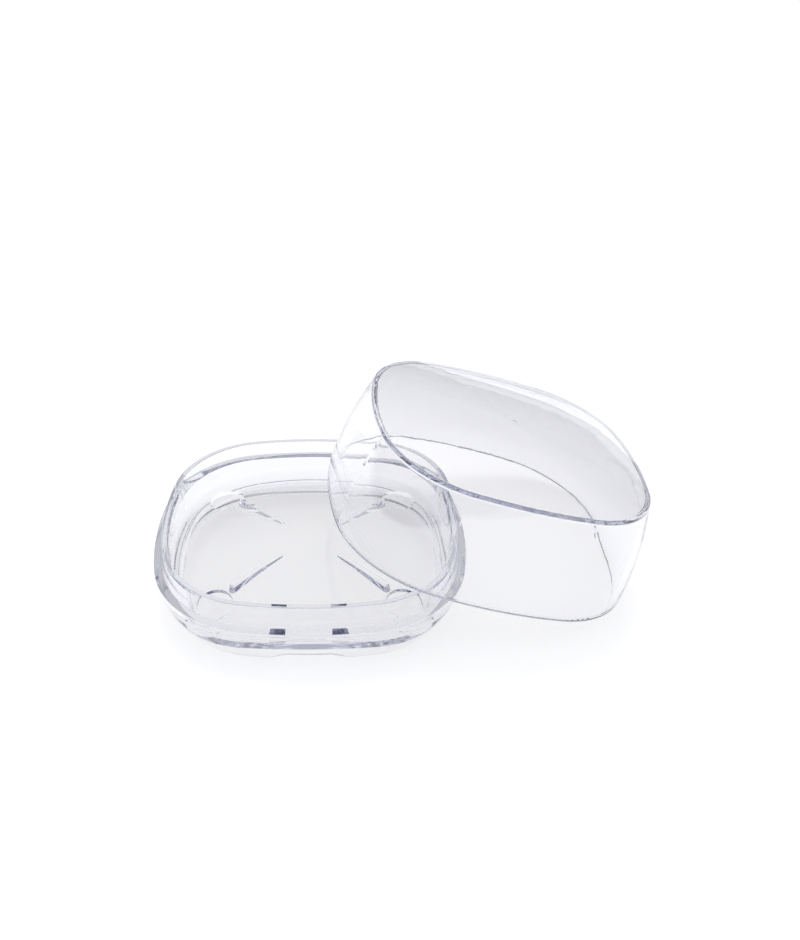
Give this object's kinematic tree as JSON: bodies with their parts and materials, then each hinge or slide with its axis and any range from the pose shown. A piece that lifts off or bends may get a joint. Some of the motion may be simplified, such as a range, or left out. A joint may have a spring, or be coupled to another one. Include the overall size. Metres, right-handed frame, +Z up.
{
  "type": "travel soap box",
  "caption": "Clear moulded soap box with round corners: a ribbed tray with a ledge and neck, and a loose domed lid that drops over the neck, here leaning on the tray.",
  "frame": {"origin": "on the table, under the middle of the box around the tray and the leaning lid", "axes": "+Z up, +X from the tray towards the lid that leans on it, +Y away from the viewer"},
  "size_m": [0.1436, 0.0936, 0.0548],
  "materials": {
    "clear_plastic": "clear, polished from the mould"
  },
  "bodies": {
    "tray": {"tray": "clear_plastic"},
    "lid": {"lid": "clear_plastic"}
  },
  "joints": [
    {"name": "lid_lift", "type": "slide", "parent": "tray", "child": "lid", "axis": [0, 0, 1], "range_m": [0, 0.06]}
  ]
}
